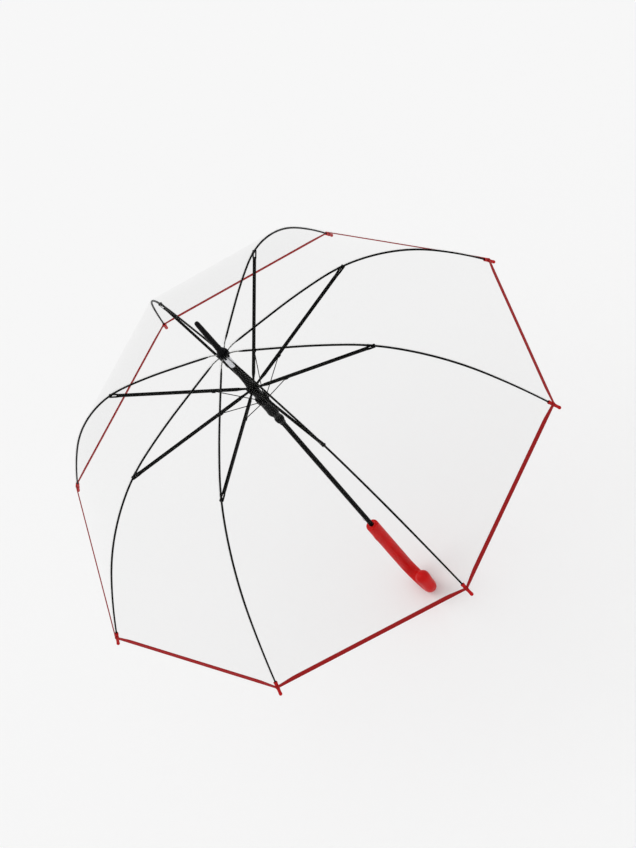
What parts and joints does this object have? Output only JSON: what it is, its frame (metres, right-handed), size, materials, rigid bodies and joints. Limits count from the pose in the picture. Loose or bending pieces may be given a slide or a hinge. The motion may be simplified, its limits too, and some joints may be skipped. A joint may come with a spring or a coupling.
{
  "type": "bubble umbrella",
  "caption": "Clear dome umbrella on a folding rib frame, with a sliding runner, a spring that opens it, a push-button release and a crook handle.",
  "frame": {"origin": "on the axis of the shaft, in the middle of the straight grip of the handle", "axes": "+Z along the shaft from the handle to the ferrule, +X out along the first rib of the open canopy, -Y towards the open end of the crook"},
  "size_m": [0.8558, 0.8558, 0.7978],
  "materials": {
    "black_steel": "semi-gloss black lacquer",
    "black_plastic": "satin black moulding",
    "silver_collar": "satin",
    "clear_film": "clear, glossy, thin film",
    "red_tip": "glossy red moulding",
    "red_handle": "glossy red moulding",
    "spring_steel": "bright drawn wire"
  },
  "bodies": {
    "stick": {"shaft_tube": "black_steel", "crown": "black_plastic", "film_washer": "black_plastic", "ferrule": "black_plastic", "stop_collar": "silver_collar", "handle": "red_handle"},
    "rib_1": {"rib_1": "black_steel"},
    "rib_1_outer": {"rib_1_outer": "black_steel", "tip_cap_1": "red_tip", "canopy_gore_1": "clear_film"},
    "stretcher_1": {"stretcher_1": "black_steel"},
    "strut_1": {"strut_1": "black_steel"},
    "rib_2": {"rib_2": "black_steel"},
    "rib_2_outer": {"rib_2_outer": "black_steel", "tip_cap_2": "red_tip", "canopy_gore_2": "clear_film"},
    "stretcher_2": {"stretcher_2": "black_steel"},
    "strut_2": {"strut_2": "black_steel"},
    "rib_3": {"rib_3": "black_steel"},
    "rib_3_outer": {"rib_3_outer": "black_steel", "tip_cap_3": "red_tip", "canopy_gore_3": "clear_film"},
    "stretcher_3": {"stretcher_3": "black_steel"},
    "strut_3": {"strut_3": "black_steel"},
    "rib_4": {"rib_4": "black_steel"},
    "rib_4_outer": {"rib_4_outer": "black_steel", "tip_cap_4": "red_tip", "canopy_gore_4": "clear_film"},
    "stretcher_4": {"stretcher_4": "black_steel"},
    "strut_4": {"strut_4": "black_steel"},
    "rib_5": {"rib_5": "black_steel"},
    "rib_5_outer": {"rib_5_outer": "black_steel", "tip_cap_5": "red_tip", "canopy_gore_5": "clear_film"},
    "stretcher_5": {"stretcher_5": "black_steel"},
    "strut_5": {"strut_5": "black_steel"},
    "rib_6": {"rib_6": "black_steel"},
    "rib_6_outer": {"rib_6_outer": "black_steel", "tip_cap_6": "red_tip", "canopy_gore_6": "clear_film"},
    "stretcher_6": {"stretcher_6": "black_steel"},
    "strut_6": {"strut_6": "black_steel"},
    "rib_7": {"rib_7": "black_steel"},
    "rib_7_outer": {"rib_7_outer": "black_steel", "tip_cap_7": "red_tip", "canopy_gore_7": "clear_film"},
    "stretcher_7": {"stretcher_7": "black_steel"},
    "strut_7": {"strut_7": "black_steel"},
    "rib_8": {"rib_8": "black_steel"},
    "rib_8_outer": {"rib_8_outer": "black_steel", "tip_cap_8": "red_tip", "canopy_gore_8": "clear_film"},
    "stretcher_8": {"stretcher_8": "black_steel"},
    "strut_8": {"strut_8": "black_steel"},
    "runner": {"runner": "black_plastic"},
    "lower_runner": {"lower_runner": "black_plastic", "opening_spring": "spring_steel"},
    "release_button": {"release_button": "red_handle", "button_spring": "spring_steel"},
    "latch": {"latch": "black_steel"}
  },
  "joints": [
    {"name": "rib_1_fold", "type": "hinge", "parent": "stick", "child": "rib_1", "pos_m": [0.0075, 0, 0.5895], "axis": [0, 1, 0], "range_deg": [0, 72.63], "stiffness_Nm_per_rad": 0.9, "springref_deg": -171.89, "deforming": ["canopy_gore_1"]},
    {"name": "rib_2_fold", "type": "hinge", "parent": "stick", "child": "rib_2", "pos_m": [0.0053, 0.0053, 0.5895], "axis": [-0.7071, 0.7071, 0], "range_deg": [0, 72.63], "deforming": ["canopy_gore_2"]},
    {"name": "rib_3_fold", "type": "hinge", "parent": "stick", "child": "rib_3", "pos_m": [0, 0.0075, 0.5895], "axis": [-1, 0, 0], "range_deg": [0, 72.63], "deforming": ["canopy_gore_3"]},
    {"name": "rib_4_fold", "type": "hinge", "parent": "stick", "child": "rib_4", "pos_m": [-0.0053, 0.0053, 0.5895], "axis": [-0.7071, -0.7071, 0], "range_deg": [0, 72.63], "deforming": ["canopy_gore_4"]},
    {"name": "rib_5_fold", "type": "hinge", "parent": "stick", "child": "rib_5", "pos_m": [-0.0075, 0, 0.5895], "axis": [0, -1, 0], "range_deg": [0, 72.63], "deforming": ["canopy_gore_5"]},
    {"name": "rib_6_fold", "type": "hinge", "parent": "stick", "child": "rib_6", "pos_m": [-0.0053, -0.0053, 0.5895], "axis": [0.7071, -0.7071, 0], "range_deg": [0, 72.63], "deforming": ["canopy_gore_6"]},
    {"name": "rib_7_fold", "type": "hinge", "parent": "stick", "child": "rib_7", "pos_m": [0, -0.0075, 0.5895], "axis": [1, 0, 0], "range_deg": [0, 72.63], "deforming": ["canopy_gore_7"]},
    {"name": "rib_8_fold", "type": "hinge", "parent": "stick", "child": "rib_8", "pos_m": [0.0053, -0.0053, 0.5895], "axis": [0.7071, 0.7071, 0], "range_deg": [0, 72.63], "deforming": ["canopy_gore_8"]},
    {"name": "rib_1_bend", "type": "hinge", "parent": "rib_1", "child": "rib_1_outer", "pos_m": [0.22575, 0, 0.54163], "axis": [0, 1, 0], "range_deg": [-39.17, 0]},
    {"name": "stretcher_1_pivot", "type": "hinge", "parent": "rib_1", "child": "stretcher_1", "pos_m": [0.22575, 0, 0.54163], "axis": [0, 1, 0], "range_deg": [-145.27, 0]},
    {"name": "rib_2_bend", "type": "hinge", "parent": "rib_2", "child": "rib_2_outer", "pos_m": [0.15963, 0.15963, 0.54163], "axis": [-0.7071, 0.7071, 0], "range_deg": [-39.17, 0]},
    {"name": "stretcher_2_pivot", "type": "hinge", "parent": "rib_2", "child": "stretcher_2", "pos_m": [0.15963, 0.15963, 0.54163], "axis": [-0.7071, 0.7071, 0], "range_deg": [-145.27, 0]},
    {"name": "rib_3_bend", "type": "hinge", "parent": "rib_3", "child": "rib_3_outer", "pos_m": [0, 0.22575, 0.54163], "axis": [-1, 0, 0], "range_deg": [-39.17, 0]},
    {"name": "stretcher_3_pivot", "type": "hinge", "parent": "rib_3", "child": "stretcher_3", "pos_m": [0, 0.22575, 0.54163], "axis": [-1, 0, 0], "range_deg": [-145.27, 0]},
    {"name": "rib_4_bend", "type": "hinge", "parent": "rib_4", "child": "rib_4_outer", "pos_m": [-0.15963, 0.15963, 0.54163], "axis": [-0.7071, -0.7071, 0], "range_deg": [-39.17, 0]},
    {"name": "stretcher_4_pivot", "type": "hinge", "parent": "rib_4", "child": "stretcher_4", "pos_m": [-0.15963, 0.15963, 0.54163], "axis": [-0.7071, -0.7071, 0], "range_deg": [-145.27, 0]},
    {"name": "rib_5_bend", "type": "hinge", "parent": "rib_5", "child": "rib_5_outer", "pos_m": [-0.22575, 0, 0.54163], "axis": [0, -1, 0], "range_deg": [-39.17, 0]},
    {"name": "stretcher_5_pivot", "type": "hinge", "parent": "rib_5", "child": "stretcher_5", "pos_m": [-0.22575, 0, 0.54163], "axis": [0, -1, 0], "range_deg": [-145.27, 0]},
    {"name": "rib_6_bend", "type": "hinge", "parent": "rib_6", "child": "rib_6_outer", "pos_m": [-0.15963, -0.15963, 0.54163], "axis": [0.7071, -0.7071, 0], "range_deg": [-39.17, 0]},
    {"name": "stretcher_6_pivot", "type": "hinge", "parent": "rib_6", "child": "stretcher_6", "pos_m": [-0.15963, -0.15963, 0.54163], "axis": [0.7071, -0.7071, 0], "range_deg": [-145.27, 0]},
    {"name": "rib_7_bend", "type": "hinge", "parent": "rib_7", "child": "rib_7_outer", "pos_m": [0, -0.22575, 0.54163], "axis": [1, 0, 0], "range_deg": [-39.17, 0]},
    {"name": "stretcher_7_pivot", "type": "hinge", "parent": "rib_7", "child": "stretcher_7", "pos_m": [0, -0.22575, 0.54163], "axis": [1, 0, 0], "range_deg": [-145.27, 0]},
    {"name": "rib_8_bend", "type": "hinge", "parent": "rib_8", "child": "rib_8_outer", "pos_m": [0.15963, -0.15963, 0.54163], "axis": [0.7071, 0.7071, 0], "range_deg": [-39.17, 0]},
    {"name": "stretcher_8_pivot", "type": "hinge", "parent": "rib_8", "child": "stretcher_8", "pos_m": [0.15963, -0.15963, 0.54163], "axis": [0.7071, 0.7071, 0], "range_deg": [-145.27, 0]},
    {"name": "runner_pivot", "type": "hinge", "parent": "stretcher_1", "child": "runner", "pos_m": [0.0075, 0, 0.49375], "axis": [0, 1, 0], "range_deg": [0, 72.64]},
    {"name": "lower_runner_slide", "type": "slide", "parent": "runner", "child": "lower_runner", "axis": [0, 0, 1], "range_m": [0, 0.02013], "deforming": ["opening_spring"]},
    {"name": "strut_1_pivot", "type": "hinge", "parent": "lower_runner", "child": "strut_1", "pos_m": [0.0096, 0, 0.462], "axis": [0, 1, 0], "range_deg": [-47.73, 0]},
    {"name": "strut_2_pivot", "type": "hinge", "parent": "lower_runner", "child": "strut_2", "pos_m": [0.00679, 0.00679, 0.462], "axis": [-0.7071, 0.7071, 0], "range_deg": [-47.73, 0]},
    {"name": "strut_3_pivot", "type": "hinge", "parent": "lower_runner", "child": "strut_3", "pos_m": [0, 0.0096, 0.462], "axis": [-1, 0, 0], "range_deg": [-47.73, 0]},
    {"name": "strut_4_pivot", "type": "hinge", "parent": "lower_runner", "child": "strut_4", "pos_m": [-0.00679, 0.00679, 0.462], "axis": [-0.7071, -0.7071, 0], "range_deg": [-47.73, 0]},
    {"name": "strut_5_pivot", "type": "hinge", "parent": "lower_runner", "child": "strut_5", "pos_m": [-0.0096, 0, 0.462], "axis": [0, -1, 0], "range_deg": [-47.73, 0]},
    {"name": "strut_6_pivot", "type": "hinge", "parent": "lower_runner", "child": "strut_6", "pos_m": [-0.00679, -0.00679, 0.462], "axis": [0.7071, -0.7071, 0], "range_deg": [-47.73, 0]},
    {"name": "strut_7_pivot", "type": "hinge", "parent": "lower_runner", "child": "strut_7", "pos_m": [0, -0.0096, 0.462], "axis": [1, 0, 0], "range_deg": [-47.73, 0]},
    {"name": "strut_8_pivot", "type": "hinge", "parent": "lower_runner", "child": "strut_8", "pos_m": [0.00679, -0.00679, 0.462], "axis": [0.7071, 0.7071, 0], "range_deg": [-47.73, 0]},
    {"name": "button_press", "type": "slide", "parent": "stick", "child": "release_button", "axis": [1, 0, 0], "range_m": [0, 0.0012], "stiffness_N_per_m": 400, "springref_m": -0.001, "deforming": ["button_spring"]},
    {"name": "latch_slide", "type": "slide", "parent": "stick", "child": "latch", "axis": [1, 0, 0], "range_m": [0, 0.00175]}
  ],
  "couplings": [
    {"joint": "rib_1_bend", "follows": "rib_1_fold", "ratio": -0.53917},
    {"joint": "stretcher_1_pivot", "follows": "rib_1_fold", "ratio": -2},
    {"joint": "strut_1_pivot", "follows": "rib_1_fold", "ratio": -0.65708},
    {"joint": "rib_2_fold", "follows": "rib_1_fold", "ratio": 1},
    {"joint": "rib_2_bend", "follows": "rib_1_fold", "ratio": -0.53917},
    {"joint": "stretcher_2_pivot", "follows": "rib_1_fold", "ratio": -2},
    {"joint": "strut_2_pivot", "follows": "rib_1_fold", "ratio": -0.65708},
    {"joint": "rib_3_fold", "follows": "rib_1_fold", "ratio": 1},
    {"joint": "rib_3_bend", "follows": "rib_1_fold", "ratio": -0.53917},
    {"joint": "stretcher_3_pivot", "follows": "rib_1_fold", "ratio": -2},
    {"joint": "strut_3_pivot", "follows": "rib_1_fold", "ratio": -0.65708},
    {"joint": "rib_4_fold", "follows": "rib_1_fold", "ratio": 1},
    {"joint": "rib_4_bend", "follows": "rib_1_fold", "ratio": -0.53917},
    {"joint": "stretcher_4_pivot", "follows": "rib_1_fold", "ratio": -2},
    {"joint": "strut_4_pivot", "follows": "rib_1_fold", "ratio": -0.65708},
    {"joint": "rib_5_fold", "follows": "rib_1_fold", "ratio": 1},
    {"joint": "rib_5_bend", "follows": "rib_1_fold", "ratio": -0.53917},
    {"joint": "stretcher_5_pivot", "follows": "rib_1_fold", "ratio": -2},
    {"joint": "strut_5_pivot", "follows": "rib_1_fold", "ratio": -0.65708},
    {"joint": "rib_6_fold", "follows": "rib_1_fold", "ratio": 1},
    {"joint": "rib_6_bend", "follows": "rib_1_fold", "ratio": -0.53917},
    {"joint": "stretcher_6_pivot", "follows": "rib_1_fold", "ratio": -2},
    {"joint": "strut_6_pivot", "follows": "rib_1_fold", "ratio": -0.65708},
    {"joint": "rib_7_fold", "follows": "rib_1_fold", "ratio": 1},
    {"joint": "rib_7_bend", "follows": "rib_1_fold", "ratio": -0.53917},
    {"joint": "stretcher_7_pivot", "follows": "rib_1_fold", "ratio": -2},
    {"joint": "strut_7_pivot", "follows": "rib_1_fold", "ratio": -0.65708},
    {"joint": "rib_8_fold", "follows": "rib_1_fold", "ratio": 1},
    {"joint": "rib_8_bend", "follows": "rib_1_fold", "ratio": -0.53917},
    {"joint": "stretcher_8_pivot", "follows": "rib_1_fold", "ratio": -2},
    {"joint": "strut_8_pivot", "follows": "rib_1_fold", "ratio": -0.65708},
    {"joint": "runner_pivot", "follows": "rib_1_fold", "ratio": 1},
    {"joint": "lower_runner_slide", "follows": "rib_1_fold", "m_per_rad": 0.015723},
    {"joint": "latch_slide", "follows": "button_press", "ratio": 1.4}
  ]
}
